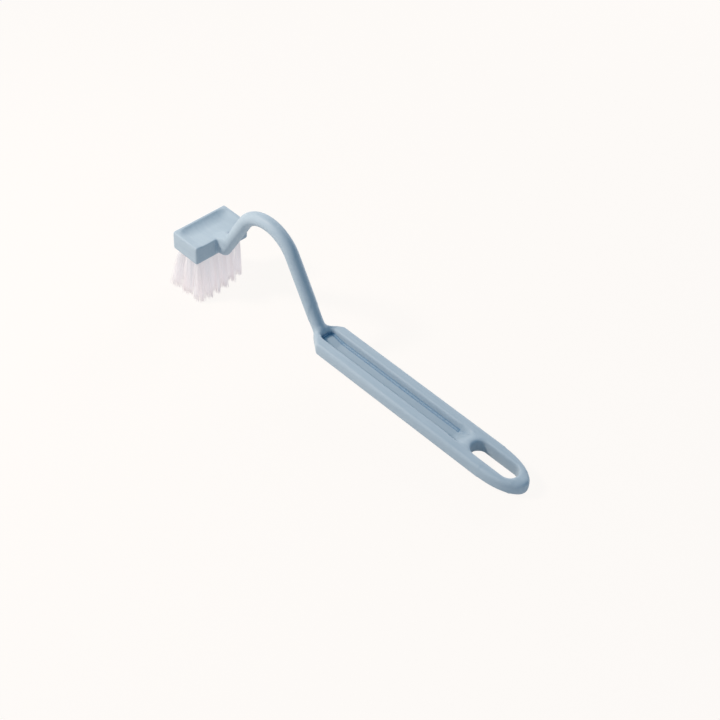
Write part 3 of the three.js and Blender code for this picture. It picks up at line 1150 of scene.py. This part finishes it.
@dataclass(frozen=True)
class NylonTufts:
    """The tufts: bundles of filament that leave their holes together and open towards the tips."""

    pose: RestPose
    head: HeadBlock
    finish: NylonFilament
    filaments: int = 90
    filament_radius: float = 0.13
    taper: float = 0.25
    filament_sides: int = 4
    filament_steps: int = 6
    bundle_radius: float = 1.35
    root_inset: float = 3.0
    splay_along: float = 10.5
    splay_across: float = 2.0
    lean: float = 1.0
    comb: float = 1.2
    worn_pull: float = 2.2
    worn_length: float = 1.3
    tip_spread_along: float = 3.4
    tip_spread_across: float = 2.0
    tip_scatter: float = 0.35
    raggedness: float = 1.3
    bow: float = 0.65
    seed: int = 7

    def _template(self) -> Mesh:
        """One straight filament of unit radius and unit height, closed at both ends."""
        bm = bmesh.new()
        bmesh.ops.create_circle(bm, radius=1.0, segments=self.filament_sides)
        bmesh.ops.spin(
            bm,
            geom=[*bm.verts, *bm.edges],
            cent=(0.0, 0.0, 0.0),
            axis=UP,
            dvec=UP / self.filament_steps,
            angle=0.0,
            steps=self.filament_steps,
        )
        cap_ends(bm)
        bmesh.ops.recalc_face_normals(bm, faces=bm.faces)
        mesh = bpy.data.meshes.new("filament")
        bm.to_mesh(mesh)
        bm.free()
        return mesh

    def _tip(self, row: TuftRow, tuft: int) -> Vector:
        """Middle of a tuft's tips, above the supporting surface."""
        along, across = self.head.tuft_steps(row, tuft)
        pitch_x = self.head.row_pitch + self.splay_along / self.head.tuft_rows
        pitch_y = self.head.tuft_pitch + self.splay_across / self.head.tufts_per_row
        worn = self._wear(tuft)
        x = self.head.length / 2 - self.lean + along * pitch_x
        x -= self.worn_pull * worn * row.value / (self.head.tuft_rows - 1)
        return Vector((x, across * pitch_y - self.comb, self.worn_length * worn))

    def _wear(self, tuft: int) -> float:
        """How worn a tuft is, from 0 in the middle to 1 at the far end of its row."""
        middle = (self.head.tufts_per_row - 1) / 2
        return max(0.0, (tuft - middle) / middle)

    def _grow(self, bm: BMesh, template: Mesh, root: Vector, tip: Vector) -> None:
        """Adds one filament.

        Args:
            bm: The row's mesh.
            template: The straight filament.
            root: Where the filament starts, inside its hole.
            tip: Where it ends.
        """
        start = len(bm.verts)
        held = self.root_inset / (root.z - tip.z)
        bm.from_mesh(template)
        bm.verts.ensure_lookup_table()
        for index in range(start, len(bm.verts)):
            vert = bm.verts[index]
            along = vert.co.z
            opened = max(0.0, (along - held) / (1.0 - held)) ** self.bow
            middle = Vector(
                (
                    root.x + (tip.x - root.x) * opened,
                    root.y + (tip.y - root.y) * opened,
                    root.z + (tip.z - root.z) * along,
                )
            )
            thin = self.filament_radius * (1.0 - self.taper * along)
            vert.co = middle + Vector((vert.co.x * thin, vert.co.y * thin, 0.0))

    def _tuft(self, bm: BMesh, template: Mesh, row: TuftRow, tuft: int) -> None:
        """Adds one tuft to its row.

        Args:
            bm: The row's mesh.
            template: The straight filament.
            row: The tuft's row.
            tuft: Its number along the row.
        """
        chance = Random(self.seed + row.value * self.head.tufts_per_row + tuft)
        hole = self.head.tuft_root(row, tuft) + UP * self.root_inset
        aim = self._tip(row, tuft)
        for index in range(self.filaments):
            share = math.sqrt((index + 0.5) / self.filaments)
            angle = index * GOLDEN_ANGLE
            spoke = Vector((math.cos(angle), math.sin(angle), 0.0)) * share
            root = hole + spoke * self.bundle_radius
            tip = aim + Vector(
                (
                    spoke.x * self.tip_spread_along + chance.gauss(0.0, self.tip_scatter),
                    spoke.y * self.tip_spread_across + chance.gauss(0.0, self.tip_scatter),
                    0.0,
                )
            )
            short = self.raggedness * chance.random() ** 2
            tip.z += self.pose.ground(tip.x) + self.filament_radius + short
            self._grow(bm, template, root, tip)

    def build(self, row: TuftRow) -> Object:
        """Models one row of tufts, lays it down and dresses it.

        Args:
            row: The row to build.

        Returns:
            The finished piece.
        """
        name = row.name.lower()
        template = self._template()
        bm = bmesh.new()
        for tuft in range(self.head.tufts_per_row):
            self._tuft(bm, template, row, tuft)
        piece = as_object(f"tufts_{name}", bm)
        bpy.data.meshes.remove(template)
        piece.data.transform(self.pose.matrix())
        piece.data.shade_smooth()
        piece.data.materials.append(self.finish.material())
        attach(piece, BODY)
        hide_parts(f"bristle_row_{name}")
        return piece


@dataclass(frozen=True)
class TuftAnchors:
    """The wire anchors, whose solids stay and take a drawn-metal finish."""

    finish: AnchorWire
    prefix: str = "tuft_anchor_"

    def dress(self) -> list[Object]:
        """Gives every anchor its finish and returns them."""
        material = self.finish.material()
        anchors = [node for name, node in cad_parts.items() if name.startswith(self.prefix)]
        for node in anchors:
            node.data.materials.clear()
            node.data.materials.append(material)
        return anchors


# The studio


@dataclass(frozen=True)
class Lamp:
    """One round area lamp aimed at the brush, with or without its image in glossy surfaces."""

    name: str
    towards: Colour
    distance: float
    size: float
    power: float
    colour: Colour
    mirrored: bool = True

    def build(self) -> None:
        """Hangs the lamp."""
        data = bpy.data.lights.new(self.name, "AREA")
        data.shape = "DISK"
        data.size = self.size
        data.energy = self.power
        data.color = self.colour
        lamp = bpy.data.objects.new(self.name, data)
        way = Vector(self.towards).normalized()
        lamp.location = way * self.distance
        lamp.rotation_mode = "QUATERNION"
        lamp.rotation_quaternion = way.to_track_quat("Z", "Y")
        lamp.visible_glossy = self.mirrored
        bpy.context.scene.collection.objects.link(lamp)


@dataclass(frozen=True)
class Viewpoint:
    """The camera at the photograph's viewing angle."""

    place: Colour = (0.308631, -0.301660, 0.388937)
    target: Colour = (0.005325, 0.003730, 0.007666)
    lens: float = 66.493
    sensor: float = 36.0
    roll: float = math.radians(0.41)
    nearest: float = 0.01
    farthest: float = 50.0

    def build(self) -> None:
        """Sets the camera up and makes it the scene's own."""
        data = bpy.data.cameras.new("viewpoint")
        data.lens = self.lens
        data.sensor_width = self.sensor
        data.clip_start = self.nearest
        data.clip_end = self.farthest
        camera = bpy.data.objects.new("viewpoint", data)
        camera.location = self.place
        forward = (Vector(self.target) - Vector(self.place)).normalized()
        level = forward.to_track_quat("-Z", "Y")
        camera.rotation_mode = "QUATERNION"
        camera.rotation_quaternion = Quaternion(forward, -self.roll) @ level
        bpy.context.scene.collection.objects.link(camera)
        bpy.context.scene.camera = camera


@dataclass(frozen=True)
class Studio:
    """A pale sheet, a small key from the head's side, two fills and blue ambient light."""

    sheet: StudioSheet
    viewpoint: Viewpoint
    floor_size: float = 6.0
    ambient: Colour = (0.30, 0.68, 1.0)
    ambient_strength: float = 0.36
    lamps: tuple[Lamp, ...] = (
        Lamp("key", (-0.530, -0.470, 0.706), 0.6, 0.12, 3.75, (1.0, 0.800, 0.675)),
        Lamp("back_fill", (-0.217, 0.941, 0.259), 1.0, 0.5, 8.40, (1.0, 0.780, 0.667), False),
        Lamp("end_fill", (0.815, -0.435, 0.380), 0.37, 0.3, 0.17, (1.0, 0.760, 0.680)),
    )

    def build(self) -> None:
        """Lays the sheet, hangs the lamps and sets up the camera."""
        self.viewpoint.build()
        for lamp in self.lamps:
            lamp.build()
        self._floor()
        self._surroundings()
        bpy.context.scene.view_settings.view_transform = "Standard"

    def _floor(self) -> None:
        """Lays the sheet under the brush."""
        bm = bmesh.new()
        bmesh.ops.create_grid(bm, x_segments=8, y_segments=8, size=self.floor_size)
        floor = as_object("studio_floor", bm)
        floor.data.materials.append(self.sheet.material())

    def _surroundings(self) -> None:
        """White to the eye, and an even ambient light for everything else."""
        world = bpy.data.worlds.new("studio")
        world.use_nodes = True
        bench = NodeBench(world.node_tree)
        seen = self.sheet.seen(bench)
        colour = bench.mix(seen, self.ambient, self.sheet.colour)
        strength = self.ambient_strength + seen * (1.0 - self.ambient_strength)
        light = bench.make(
            "ShaderNodeBackground", None, {"Color": colour, "Strength": strength}
        )
        bench.make("ShaderNodeOutputWorld", None, {"Surface": light})
        bpy.context.scene.world = world


def main() -> None:
    """Builds the studio and the brush and reports each piece."""
    logging.basicConfig(level=logging.INFO, format="%(name)s: %(message)s")
    Studio(StudioSheet(), Viewpoint()).build()
    pose = RestPose()
    head = HeadBlock()
    handle = HandleMoulding(pose, head, ArchedNeck(head), GroovedGrip(), MouldedPlastic())
    tufts = NylonTufts(pose, head, NylonFilament())
    pieces = [handle.build()]
    pieces += [tufts.build(row) for row in TuftRow]
    pieces += TuftAnchors(AnchorWire()).dress()
    for piece in pieces:
        LOG.info("%s has %d faces", piece.name, len(piece.data.polygons))


if __name__ == "__main__":
    main()
